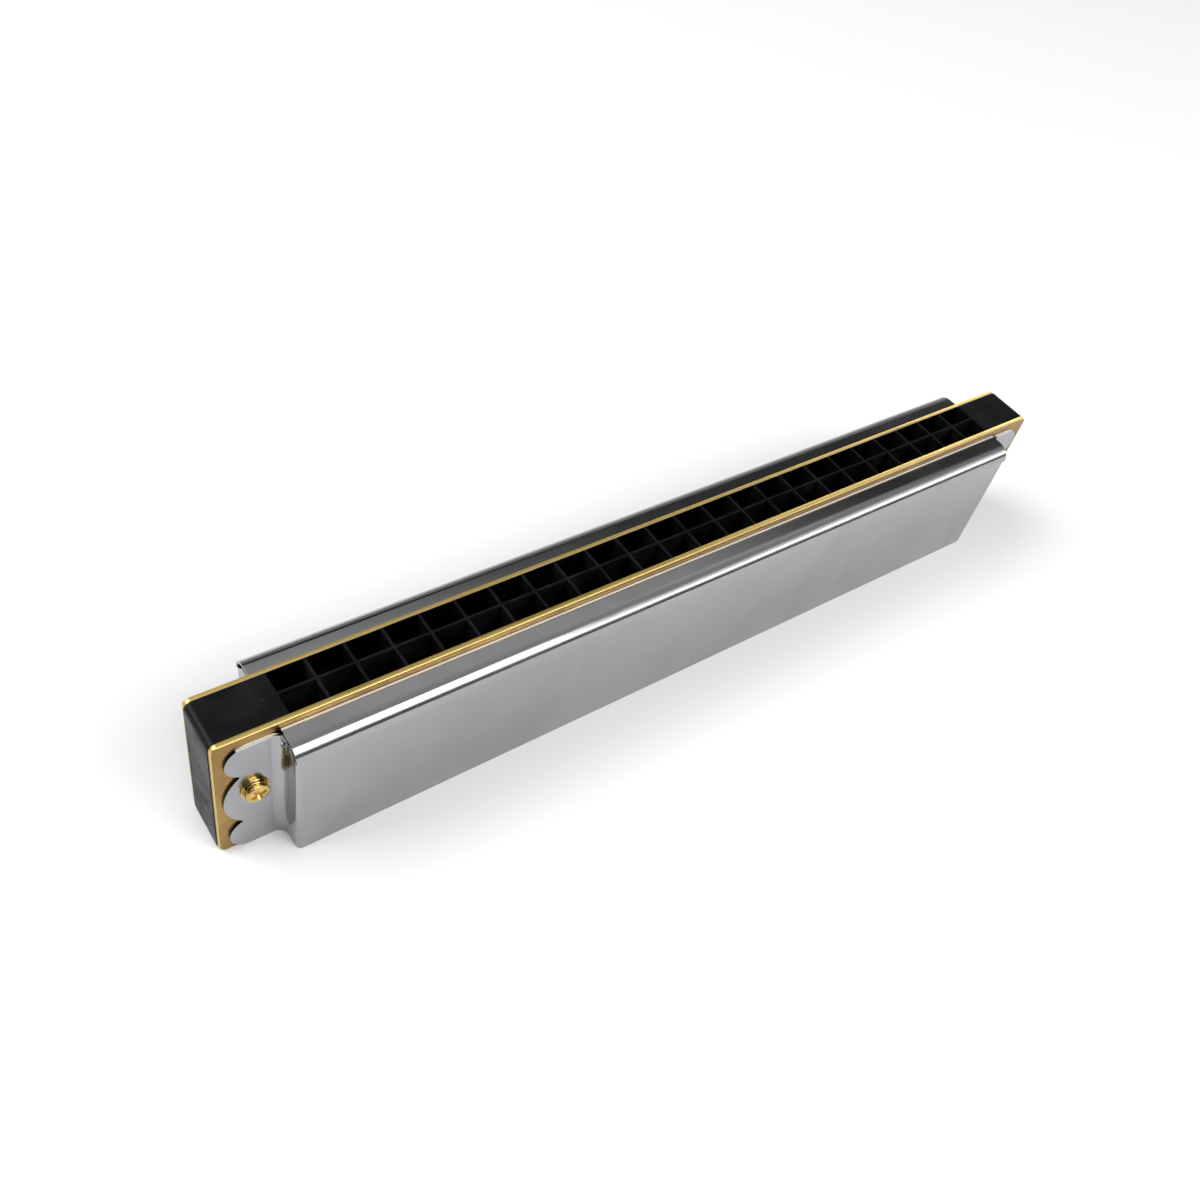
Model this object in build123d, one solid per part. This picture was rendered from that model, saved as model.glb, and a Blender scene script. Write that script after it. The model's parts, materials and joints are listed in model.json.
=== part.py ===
from build123d import *
from math import cos, radians, tan
import os

# A 24-column tremolo harmonica, standing on its rear edge with the mouth holes up.
# X runs along the instrument, with the lowest notes at +X. Y runs from the upper cover (-Y), which
# faces up when the harmonica is played, to the lower cover (+Y). Z runs up from the rear edge to
# the mouth edge. The origin is the centre of the rear edge. Units are millimetres.

# Reed plates and comb
plate_length = 174.7
plate_height = 27.0
plate_thickness = 0.9
plate_corner_radius = 1.2
plate_edge_radius = 0.3
comb_thickness = 8.0
comb_end_overhang = 0.15
comb_edge_radius = 0.25

# Mouth holes: each column has one chamber behind each reed plate
columns = 24
column_pitch = 6.3
column_wall = 0.55
row_web = 0.5

# Reeds, longest in the first column, where the chamber leaves the rear wall, and shortest in the last
slot_mouth_inset = 5.3
rear_wall = 2.6
shortest_slot = 8.4
slot_width = 2.1
reed_side_clearance = 0.07
reed_tip_clearance = 0.12
reed_root_gap = 0.02
reed_thickness = 0.25
base_length = 3.0
base_width = 3.2
chamber_floor_margin = 0.5
rivet_radius = 0.45
rivet_head_radius = 0.85
rivet_head_height = 0.3

# Pins that hold each reed plate on the comb
pin_radius = 0.6
pin_depth_in_comb = 3.0
pin_end_inset = 2.45
pin_corner_height = 4.0
pin_row_height = 1.3

# Covers: one stamped sheet each, stepped down to a scalloped flange at both ends
cover_sheet = 0.4
cover_depth = 5.1
cover_half_length = 77.2
cover_mouth_inset = 1.25
cover_plate_gap = 0.05
band_slope = 2.0
band_bend_radius = 2.7
step_foot_radius = 2.2
step_edge_radius = 0.9
corner_relief = 0.5
flange_mouth_inset = 1.6
flange_lobe_inset = 1.0
flange_side_lobe_radius = 3.5
flange_side_lobe_setback = 0.55
flange_cusp_inset = 3.65
flange_cusp_half_gap = 5.7

# Cover screws, washers and nuts
screw_end_inset = 5.75
screw_rise = 1.7
screw_radius = 1.25
screw_hole_clearance = 0.12
screw_head_radius = 1.9
screw_head_height = 0.85
screw_head_edge = 0.3
screw_tip_length = 0.5
recess_length = 2.6
recess_width = 0.7
recess_depth = 0.7
washer_radius = 2.2
washer_thickness = 0.3
washer_edge = 0.1
lock_washer_radius = 2.0
lock_washer_thickness = 0.35
lock_washer_split = 0.25
nut_across_flats = 4.6
nut_height = 1.6

# Places worked out from the sizes above
UPPER = -1
LOWER = 1
comb_face = comb_thickness / 2
plate_face = comb_face + plate_thickness
cover_face = plate_face + cover_depth
slot_mouth_end = plate_height - slot_mouth_inset
longest_slot = slot_mouth_end - base_length - chamber_floor_margin - rear_wall
flange_height = plate_height - flange_mouth_inset
screw_x = plate_length / 2 - screw_end_inset
screw_z = flange_height / 2 + screw_rise
screw_hole_radius = screw_radius + screw_hole_clearance
flange_face = plate_face + cover_sheet
washer_face = flange_face + washer_thickness
screw_seat = washer_face + lock_washer_thickness


def column_x(column):
    """The centre of a column of mouth holes. Columns count from 0 at the bass end, +X."""
    return ((columns - 1) / 2 - column) * column_pitch


def slot_length(column):
    """Slots shorten evenly from the bass end to the treble end."""
    return longest_slot - (longest_slot - shortest_slot) * column / (columns - 1)


def is_blow(column):
    """Blow and draw columns take turns. Blow reeds lie inside the chambers, draw reeds outside."""
    return column % 2 == 0


def box_between(low, high):
    """A box from its lowest corner to its highest one."""
    return Pos(*low) * Box(*(b - a for a, b in zip(low, high)), align=(Align.MIN,) * 3)


def rounded_slab(length, height, thickness, radius):
    """An upright slab centred on the origin in X and Y, with its four corners rounded."""
    outline = Plane.XZ * Pos(0, height / 2) * RectangleRounded(length, height, radius)
    return extrude(outline, thickness / 2, both=True)


def rod(x, z, y_low, y_high, radius):
    """A cylinder along Y."""
    across = Plane(origin=(x, y_low, z), x_dir=(1, 0, 0), z_dir=(0, 1, 0))
    return extrude(across * Circle(radius), y_high - y_low)


def on_side(side, low, high):
    """Two distances out from the middle plane, as low and high Y on the upper or lower side."""
    return sorted((side * low, side * high))


def pin_places():
    """X and Z of each pin on a reed plate: four in the end blocks and a row along the rear edge."""
    end_x = plate_length / 2 - pin_end_inset
    corner_z = (pin_corner_height, plate_height - pin_corner_height)
    corners = [(x, z) for x in (-end_x, end_x) for z in corner_z]
    row = [(column_x(column) - column_pitch / 2, pin_row_height) for column in range(2, columns - 1, 5)]
    return corners + row


def screw_places():
    return [(-screw_x, screw_z), (screw_x, screw_z)]


def make_comb():
    """The moulded comb: two rows of chambers open at the mouth and towards the reed plates."""
    comb_length = plate_length + 2 * comb_end_overhang
    comb = rounded_slab(comb_length, plate_height, comb_thickness, plate_corner_radius)
    rims = comb.faces().sort_by(Axis.Y)
    comb = fillet(rims[0].edges() + rims[-1].edges(), comb_edge_radius)
    half_width = (column_pitch - column_wall) / 2
    cuts = []
    for column in range(columns):
        x = column_x(column)
        floor = slot_mouth_end - slot_length(column) - base_length - chamber_floor_margin
        for side in (UPPER, LOWER):
            y_low, y_high = on_side(side, row_web / 2, comb_thickness)
            low = (x - half_width, y_low, floor)
            cuts.append(box_between(low, (x + half_width, y_high, 2 * plate_height)))
    for x, z in screw_places():
        cuts.append(rod(x, z, -comb_thickness, comb_thickness, screw_hole_radius))
    for x, z in pin_places():
        for side in (UPPER, LOWER):
            y_low, y_high = on_side(side, comb_face - pin_depth_in_comb, comb_thickness)
            cuts.append(rod(x, z, y_low, y_high, pin_radius))
    return comb - cuts


def rivet_place(column):
    """X and Z of a reed's rivet, in the middle of its base."""
    if is_blow(column):
        return column_x(column), slot_mouth_end - slot_length(column) - base_length / 2
    return column_x(column), slot_mouth_end + base_length / 2


def make_reed_plate(side):
    """A brass plate with one slot for each reed, its outer rim softened by the stamping."""
    plate = Pos(0, side * (comb_face + plate_thickness / 2), 0) * rounded_slab(
        plate_length, plate_height, plate_thickness, plate_corner_radius
    )
    outer = plate.faces().sort_by(Axis.Y)[-1 if side == LOWER else 0]
    plate = fillet(outer.edges(), plate_edge_radius)
    cuts = []
    y_low, y_high = on_side(side, 0, 2 * comb_thickness)
    for column in range(columns):
        x = column_x(column)
        low = (x - slot_width / 2, y_low, slot_mouth_end - slot_length(column))
        cuts.append(box_between(low, (x + slot_width / 2, y_high, slot_mouth_end)))
        cuts.append(rod(*rivet_place(column), y_low, y_high, rivet_radius))
    for x, z in screw_places():
        cuts.append(rod(x, z, y_low, y_high, screw_hole_radius))
    for x, z in pin_places():
        cuts.append(rod(x, z, y_low, y_high, pin_radius))
    return plate - cuts


def reed_layer(side, column):
    """Low and high Y of a reed. Blow reeds lie on the plate's chamber side, draw reeds on the other."""
    if is_blow(column):
        return on_side(side, comb_face - reed_thickness, comb_face)
    return on_side(side, plate_face, plate_face + reed_thickness)


def make_reed_tongue(side, column):
    """The free part of one reed. Blow reeds are rooted at the slot's rear end, draw reeds at the mouth."""
    x = column_x(column)
    half_width = slot_width / 2 - reed_side_clearance
    y_low, y_high = reed_layer(side, column)
    slot_rear_end = slot_mouth_end - slot_length(column)
    if is_blow(column):
        z_low, z_high = slot_rear_end + reed_root_gap, slot_mouth_end - reed_tip_clearance
    else:
        z_low, z_high = slot_rear_end + reed_tip_clearance, slot_mouth_end - reed_root_gap
    return box_between((x - half_width, y_low, z_low), (x + half_width, y_high, z_high))


def make_reed_bases():
    """The riveted ends of all the reeds, flat on their plates."""
    bases = []
    for side in (UPPER, LOWER):
        for column in range(columns):
            x, z = rivet_place(column)
            y_low, y_high = reed_layer(side, column)
            low = (x - base_width / 2, y_low, z - base_length / 2)
            base = box_between(low, (x + base_width / 2, y_high, z + base_length / 2))
            bases.append(base - rod(x, z, y_low, y_high, rivet_radius))
    return bases


def make_reed_rivets():
    """One rivet for each reed, flush with the plate on one side and headed on the reed's side."""
    rivets = []
    for side in (UPPER, LOWER):
        for column in range(columns):
            x, z = rivet_place(column)
            if is_blow(column):
                reed_face = comb_face - reed_thickness
                shank = on_side(side, reed_face, plate_face)
                head = on_side(side, reed_face - rivet_head_height, reed_face)
            else:
                reed_face = plate_face + reed_thickness
                shank = on_side(side, comb_face, reed_face)
                head = on_side(side, reed_face, reed_face + rivet_head_height)
            rivets.append(rod(x, z, *shank, rivet_radius) + rod(x, z, *head, rivet_head_radius))
    return rivets


def make_reed_plate_pins():
    """Headless pins that end flush with the outside of the reed plates."""
    pins = []
    for side in (UPPER, LOWER):
        span = on_side(side, comb_face - pin_depth_in_comb, plate_face)
        pins += [rod(x, z, *span, pin_radius) for x, z in pin_places()]
    return pins


def band_start_z():
    """Height of the sheet's middle where the cover's band starts beside the reed plate."""
    return plate_height - cover_mouth_inset - cover_sheet / 2


def cover_bend():
    """The middle line of the cover's section, as (Y, Z): the band, the bend and the flat face."""
    face_middle = cover_face - cover_sheet / 2
    start = (plate_face + cover_plate_gap, band_start_z())
    drop = (face_middle - start[0]) * tan(radians(band_slope))
    return start, (face_middle, start[1] - drop), (face_middle, 0)


def bend_start_z():
    """Height at which the flat face turns into the bend."""
    middle_radius = band_bend_radius - cover_sheet / 2
    return cover_bend()[1][1] - middle_radius * tan(radians((90 - band_slope) / 2))


def make_cover_shell():
    """The flat face and the band that bends from it towards the reed plate."""
    line = FilletPolyline(*cover_bend(), radius=band_bend_radius - cover_sheet / 2)
    section = Plane.YZ * trace(line, cover_sheet)
    shell = extrude(section, cover_half_length, both=True)
    flat_end = cover_half_length - step_edge_radius
    for x_low, x_high in ((flat_end, plate_length), (-plate_length, -flat_end)):
        shell -= box_between((x_low, 0, -plate_height), (x_high, 2 * cover_face, bend_start_z()))
    return shell


def make_cover_ends():
    """The face again, with the steps at both ends down to the flanges on the reed plate."""
    half = cover_sheet / 2
    wall_x = cover_half_length - half
    flange_end = plate_length / 2
    y_flange, y_face = plate_face + half, cover_face - half
    foot, edge = step_foot_radius - half, step_edge_radius - half
    line = FilletPolyline(
        (-flange_end, y_flange),
        (-wall_x, y_flange),
        (-wall_x, y_face),
        (wall_x, y_face),
        (wall_x, y_flange),
        (flange_end, y_flange),
        radius=[foot, edge, edge, foot],
    )
    section = trace(line, cover_sheet)
    full = extrude(section, bend_start_z())
    upper = Pos(0, 0, bend_start_z()) * extrude(section, flange_height - bend_start_z())
    return full + (upper & under_band())


def under_band():
    """The space under the band that the top of each end wall may fill, with a relief gap all round."""
    gap = cover_sheet / 2 + corner_relief
    start, corner, _ = cover_bend()
    lift = gap / cos(radians(band_slope))
    top_at_plate = start[1] - lift
    fall = tan(radians(band_slope))
    inner_y = corner[0] - gap
    inner_z = top_at_plate - (inner_y - start[0]) * fall
    chamfer = band_bend_radius / 2
    inside = Polyline(
        (0, 0),
        (inner_y, 0),
        (inner_y, inner_z - chamfer),
        (inner_y - chamfer, inner_z + chamfer * fall),
        (start[0], top_at_plate),
        (0, top_at_plate),
        close=True,
    )
    inside = extrude(Plane.YZ * make_face(inside), cover_half_length, both=True)
    beyond = [
        box_between((x_low, 0, 0), (x_high, flange_face + step_foot_radius / 4, plate_height))
        for x_low, x_high in ((cover_half_length, plate_length), (-plate_length, -cover_half_length))
    ]
    return inside + beyond


def flange_outline():
    """The cover seen from above it: straight along the middle, with three lobes at each end."""
    half_cusp = plate_length / 2 - flange_cusp_inset
    lobe_reach = flange_cusp_inset - flange_lobe_inset
    middle_radius = (flange_cusp_half_gap**2 + lobe_reach**2) / (2 * lobe_reach)
    middle_x = plate_length / 2 - flange_lobe_inset - middle_radius
    side_x = plate_length / 2 - flange_lobe_inset - flange_side_lobe_setback - flange_side_lobe_radius
    side_rise = flange_side_lobe_radius
    outline = Pos(0, plate_height / 2) * Rectangle(2 * side_x, plate_height)
    outline += Pos(0, flange_height / 2) * Rectangle(2 * half_cusp, flange_height - 2 * side_rise)
    outline -= [
        Pos(x, flange_height) * Rectangle(plate_length, 2 * flange_mouth_inset, align=align)
        for x, align in (
            (cover_half_length, (Align.MIN, Align.MIN)),
            (-cover_half_length, (Align.MAX, Align.MIN)),
        )
    ]
    lobes = []
    for end in (-1, 1):
        lobes.append(Pos(end * middle_x, flange_height / 2) * Circle(middle_radius))
        for z in (side_rise, flange_height - side_rise):
            lobes.append(Pos(end * side_x, z) * Circle(flange_side_lobe_radius))
    return outline + lobes


def make_cover(side):
    """One cover. The upper one is the lower one turned half way round the upright axis."""
    outline = extrude(Plane.XZ * flange_outline(), 2 * cover_face, both=True)
    cover = (make_cover_shell() + make_cover_ends()) & outline
    cover -= [rod(x, z, 0, flange_face + 1, screw_hole_radius) for x, z in screw_places()]
    return cover if side == LOWER else Rot(0, 0, 180) * cover


def make_cover_screws():
    """Cross-recess screws, in from the upper side through both covers, both plates and the comb."""
    screws = []
    seat = -screw_seat
    tip = screw_seat + nut_height + screw_tip_length
    for x, z in screw_places():
        head = rod(x, z, seat - screw_head_height, seat, screw_head_radius)
        head = fillet(head.edges().group_by(Axis.Y)[0], screw_head_edge)
        shank = rod(x, z, seat, tip, screw_radius)
        shank = chamfer(shank.edges().group_by(Axis.Y)[-1], screw_tip_length / 2)
        recess_low = seat - 2 * screw_head_height
        recess_high = seat - screw_head_height + recess_depth
        recess = [
            box_between((x - dx / 2, recess_low, z - dz / 2), (x + dx / 2, recess_high, z + dz / 2))
            for dx, dz in ((recess_length, recess_width), (recess_width, recess_length))
        ]
        screws.append(head + shank - recess)
    return screws


def make_flat_washers():
    """A flat washer on the cover under each screw head and each nut."""
    washers = []
    for x, z in screw_places():
        for side in (UPPER, LOWER):
            low, high = on_side(side, flange_face, washer_face)
            ring = rod(x, z, low, high, washer_radius)
            rims = ring.edges().group_by(Axis.Y)
            ring = chamfer(rims[-1 if side == LOWER else 0], washer_edge)
            washers.append(ring - rod(x, z, low, high, screw_hole_radius))
    return washers


def make_lock_washers():
    """A split lock washer between each flat washer and the screw head or nut."""
    washers = []
    for x, z in screw_places():
        for side in (UPPER, LOWER):
            low, high = on_side(side, washer_face, screw_seat)
            ring = rod(x, z, low, high, lock_washer_radius)
            ring -= rod(x, z, low, high, screw_hole_radius)
            half_split = lock_washer_split / 2
            split_low = (x - half_split, low, z)
            washers.append(ring - box_between(split_low, (x + half_split, high, z + plate_height)))
    return washers


def make_cover_nuts():
    """A hexagon nut on the lower end of each screw."""
    nuts = []
    y_low = screw_seat
    for x, z in screw_places():
        across = Plane(origin=(x, y_low, z), x_dir=(1, 0, 0), z_dir=(0, 1, 0))
        hexagon = across * RegularPolygon(nut_across_flats / 2, 6, major_radius=False)
        blank = extrude(hexagon, nut_height)
        nuts.append(blank - rod(x, z, y_low, y_low + nut_height, screw_radius))
    return nuts


def write(name, shape):
    """Write one node. A list is a group of separate solids."""
    solids = Compound(children=list(shape)) if isinstance(shape, list) else shape
    export_step(solids, os.path.join("parts", name + ".step"))


def main():
    os.makedirs("parts", exist_ok=True)
    write("comb", make_comb())
    for side, place in ((UPPER, "upper"), (LOWER, "lower")):
        write(place + "_reed_plate", make_reed_plate(side))
        write(place + "_cover", make_cover(side))
        for column in range(columns):
            write(f"{place}_reed_{column + 1:02d}", make_reed_tongue(side, column))
    write("reed_bases", make_reed_bases())
    write("reed_rivets", make_reed_rivets())
    write("reed_plate_pins", make_reed_plate_pins())
    write("cover_screws", make_cover_screws())
    write("flat_washers", make_flat_washers())
    write("lock_washers", make_lock_washers())
    write("cover_nuts", make_cover_nuts())


main()
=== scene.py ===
import json
import math

import bmesh
import bpy
from mathutils import Matrix, Vector

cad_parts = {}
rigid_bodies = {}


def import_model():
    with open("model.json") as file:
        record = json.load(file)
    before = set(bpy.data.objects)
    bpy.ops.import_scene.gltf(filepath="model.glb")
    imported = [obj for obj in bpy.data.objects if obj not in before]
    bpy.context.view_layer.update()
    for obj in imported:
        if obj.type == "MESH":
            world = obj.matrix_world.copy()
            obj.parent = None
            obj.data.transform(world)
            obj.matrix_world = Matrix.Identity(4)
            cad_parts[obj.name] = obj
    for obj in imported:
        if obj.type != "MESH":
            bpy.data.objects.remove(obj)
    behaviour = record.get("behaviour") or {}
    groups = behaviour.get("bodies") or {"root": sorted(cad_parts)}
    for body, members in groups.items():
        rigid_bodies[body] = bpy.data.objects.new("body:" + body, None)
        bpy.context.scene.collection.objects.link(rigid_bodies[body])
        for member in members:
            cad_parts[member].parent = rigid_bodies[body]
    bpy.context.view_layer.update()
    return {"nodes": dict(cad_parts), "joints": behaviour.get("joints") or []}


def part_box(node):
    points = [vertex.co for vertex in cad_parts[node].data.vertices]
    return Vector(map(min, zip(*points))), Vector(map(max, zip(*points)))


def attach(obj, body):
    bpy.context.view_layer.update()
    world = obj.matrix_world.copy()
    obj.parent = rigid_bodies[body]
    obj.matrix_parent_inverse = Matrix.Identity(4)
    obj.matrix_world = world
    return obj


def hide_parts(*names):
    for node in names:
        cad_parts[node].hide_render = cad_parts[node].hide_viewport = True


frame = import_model()

# a tremolo harmonica that stands on its rear edge, mouth holes up, with its bass end at +X
mm = 0.001
body = "harmonica"
sides = {"upper": -1, "lower": 1}  # the upper cover faces -Y, the lower one +Y

view = {
    "place": (-118.11 * mm, -96.41 * mm, 167.83 * mm),
    "right": (0.8035, -0.5678, 0.1788),
    "up": (0.3319, 0.6767, 0.6572),
    "lens": 36.0,
    "sensor": 36.0,
}


def makeCamera(s):
    data = bpy.data.cameras.new("camera")
    data.lens = s["lens"]
    data.sensor_width = s["sensor"]
    data.clip_start = 1 * mm
    camera = bpy.data.objects.new("camera", data)
    bpy.context.scene.collection.objects.link(camera)
    right = Vector(s["right"]).normalized()
    up = Vector(s["up"])
    up = (up - right * up.dot(right)).normalized()
    turn = Matrix((right, up, right.cross(up))).transposed()
    camera.matrix_world = Matrix.Translation(s["place"]) @ turn.to_4x4()
    bpy.context.scene.camera = camera


makeCamera(view)
print("camera placed")


def addObject(name, mesh):
    ob = bpy.data.objects.new(name, mesh)
    bpy.context.scene.collection.objects.link(ob)
    return ob


def meshFrom(bm, name):
    bmesh.ops.recalc_face_normals(bm, faces=bm.faces)
    mesh = bpy.data.meshes.new(name)
    bm.to_mesh(mesh)
    bm.free()
    return mesh


def evaluated(ob, name):
    # the object with its modifiers applied, as a new plain object at the origin
    graph = bpy.context.evaluated_depsgraph_get()
    mesh = bpy.data.meshes.new_from_object(ob.evaluated_get(graph))
    mesh.name = name
    bpy.data.objects.remove(ob)
    return addObject(name, mesh)


def shadeByArea(ob, angle=50):
    # the large faces set the shading of the small ones beside them
    ob.data.shade_smooth()
    ob.data.set_sharp_from_angle(angle=math.radians(angle))
    weigh = ob.modifiers.new("weigh", "WEIGHTED_NORMAL")
    weigh.keep_sharp = True
    weigh.weight = 100
    return evaluated(ob, ob.name)


def shadeFlatFaces(ob, angle=50):
    # the faces of a sheet that look along Y stay flat, and its rounded rims are smooth
    ob.data.shade_smooth()
    ob.data.set_sharp_from_angle(angle=math.radians(angle))
    for face in ob.data.polygons:
        face.use_smooth = abs(face.normal.y) < 0.999
    return ob


def softenEdges(ob, width, segments=2, angle=35, shade=shadeByArea):
    # rounds the sharp edges
    bevel = ob.modifiers.new("bevel", "BEVEL")
    bevel.width = width
    bevel.segments = segments
    bevel.limit_method = "ANGLE"
    bevel.angle_limit = math.radians(angle)
    bevel.use_clamp_overlap = True
    bevel.miter_outer = "MITER_ARC"
    return shade(evaluated(ob, ob.name), angle)


def newTree(name, kind, inputs, outputs):
    tree = bpy.data.node_groups.new(name, kind)
    for label, socket, value in inputs:
        item = tree.interface.new_socket(name=label, in_out="INPUT", socket_type=socket)
        if value is not None:
            item.default_value = value
    for label, socket in outputs:
        tree.interface.new_socket(name=label, in_out="OUTPUT", socket_type=socket)
    return tree


def adder(tree):
    # add(kind, inputs by name or number, node settings) makes a node and links or sets its inputs
    def add(kind, inputs=None, **settings):
        node = tree.nodes.new(kind)
        for key, value in settings.items():
            setattr(node, key, value)
        for key, value in (inputs or {}).items():
            socket = node.inputs[key]
            if isinstance(value, bpy.types.NodeSocket):
                tree.links.new(value, socket)
            else:
                socket.default_value = value
        return node
    return add


def summer(add):
    # calc(operation, first, second) makes a Math node and gives its result
    def calc(operation, first, second=0.0):
        return add("ShaderNodeMath", {0: first, 1: second}, operation=operation).outputs[0]
    return calc


def makeHairlines():
    # fine marks along X, a height and a mask
    tree = newTree(
        "hairlines", "ShaderNodeTree",
        [("Length", "NodeSocketFloat", 40.0), ("Fineness", "NodeSocketFloat", 9000.0),
         ("Amount", "NodeSocketFloat", 0.5)],
        [("Height", "NodeSocketFloat"), ("Mask", "NodeSocketFloat")],
    )
    add = adder(tree)
    ins, outs = add("NodeGroupInput"), add("NodeGroupOutput")
    at = add("ShaderNodeTexCoord").outputs["Object"]
    length, fineness = ins.outputs["Length"], ins.outputs["Fineness"]
    scale = add("ShaderNodeCombineXYZ", {"X": length, "Y": fineness, "Z": fineness}).outputs[0]
    moved = add("ShaderNodeVectorMath", {0: at, 1: scale}, operation="MULTIPLY").outputs[0]
    noise = add("ShaderNodeTexNoise", {"Vector": moved, "Scale": 1.0, "Detail": 4.0, "Roughness": 0.65})
    height = summer(add)("MULTIPLY", noise.outputs["Fac"], ins.outputs["Amount"])
    mask = add("ShaderNodeMapRange", {"Value": noise.outputs["Fac"], "From Min": 0.55, "From Max": 0.75})
    tree.links.new(height, outs.inputs["Height"])
    tree.links.new(mask.outputs[0], outs.inputs["Mask"])
    return tree


def makeSmudges():
    # cloudy handling marks, from 0 on clean metal to 1 on a smudge
    tree = newTree(
        "smudges", "ShaderNodeTree",
        [("Scale", "NodeSocketFloat", 60.0), ("Low", "NodeSocketFloat", 0.4),
         ("High", "NodeSocketFloat", 0.7)],
        [("Mask", "NodeSocketFloat")],
    )
    add = adder(tree)
    ins, outs = add("NodeGroupInput"), add("NodeGroupOutput")
    coords = add("ShaderNodeTexCoord")
    broad = add("ShaderNodeTexNoise", {
        "Vector": coords.outputs["Object"], "Scale": ins.outputs["Scale"], "Detail": 5.0, "Distortion": 0.6,
    })
    mask = add("ShaderNodeMapRange", {
        "Value": broad.outputs["Fac"], "From Min": ins.outputs["Low"], "From Max": ins.outputs["High"],
    })
    tree.links.new(mask.outputs[0], outs.inputs["Mask"])
    return tree


def makeSpecks():
    # fine dust or pits, a mask of small separate dots
    tree = newTree(
        "specks", "ShaderNodeTree",
        [("Scale", "NodeSocketFloat", 1500.0), ("Size", "NodeSocketFloat", 0.12),
         ("Share", "NodeSocketFloat", 0.3)],
        [("Mask", "NodeSocketFloat")],
    )
    add = adder(tree)
    calc = summer(add)
    ins, outs = add("NodeGroupInput"), add("NodeGroupOutput")
    at = add("ShaderNodeTexCoord").outputs["Object"]
    cells = add("ShaderNodeTexVoronoi", {"Vector": at, "Scale": ins.outputs["Scale"]})
    dot = calc("LESS_THAN", cells.outputs["Distance"], ins.outputs["Size"])
    pick = add("ShaderNodeSeparateColor", {0: cells.outputs["Color"]})
    kept = calc("LESS_THAN", pick.outputs[0], ins.outputs["Share"])
    tree.links.new(calc("MULTIPLY", dot, kept), outs.inputs["Mask"])
    return tree


hairlines, smudges, specks = makeHairlines(), makeSmudges(), makeSpecks()
print("shader groups made")


def newMaterial(name):
    material = bpy.data.materials.new(name)
    material.use_nodes = True
    material.node_tree.nodes.clear()
    add = adder(material.node_tree)
    shader = add("ShaderNodeBsdfPrincipled")
    add("ShaderNodeOutputMaterial", {"Surface": shader.outputs[0]})
    return material, shader, add


def feed(material, shader, **sources):
    # links sources to the shader's sockets, named with underscores for spaces
    for key, value in sources.items():
        material.node_tree.links.new(value, shader.inputs[key.replace("_", " ")])


def mixColours(add, factor, first, second):
    return add("ShaderNodeMix", {0: factor, 6: first, 7: second}, data_type="RGBA").outputs[2]


def mixValues(add, factor, first, second):
    return add("ShaderNodeMix", {0: factor, 2: first, 3: second}).outputs[0]


def spread(add, mask, low, high):
    # a mask turned into a value between low and high
    return add("ShaderNodeMapRange", {"Value": mask, "To Min": low, "To Max": high}).outputs[0]


# tarnish with painted shade: everything nearer the middle in Y than within turns dark brown
aged = {"within": 4.03 * mm, "brown": (0.060, 0.036, 0.014, 1)}


def dullInside(add, colour):
    # brass that lies inside the chambers turns dark brown, tarnish together with painted shade of the
    # chambers
    calc = summer(add)
    at = add("ShaderNodeSeparateXYZ", {0: add("ShaderNodeTexCoord").outputs["Object"]})
    inside = calc("LESS_THAN", calc("ABSOLUTE", at.outputs["Y"]), aged["within"])
    return mixColours(add, inside, colour, aged["brown"])


# the band carries a painted highlight, a white and less metallic line across the Y range given by its From
# and To entries, on its way in to the reed plate
chrome = {
    "bright": (0.37, 0.372, 0.38, 1), "smudged": (0.33, 0.332, 0.34, 1), "fleck": (0.22, 0.22, 0.225, 1),
    # the cut colour is a near-black painted shade line along the flange's edges
    "cut": (0.035, 0.034, 0.032, 1), "clean": 0.12, "dulled": 0.21,
    "bare": (0.95, 0.93, 0.91, 1), "bareFrom": 5.36 * mm, "bareTo": 5.20 * mm, "bandAbove": 25.0 * mm,
    "bareRough": 0.45, "bareMetallic": 0.3,
    "lines": {"Length": 60.0, "Fineness": 7000.0, "Amount": 0.35}, "lineRough": 0.06, "lineDepth": 0.012 * mm,
    "waves": (28.0, 120.0, 120.0), "waveDepth": 0.05 * mm,
    "dust": {"Scale": 900.0, "Size": 0.09, "Share": 0.12},
}


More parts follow.
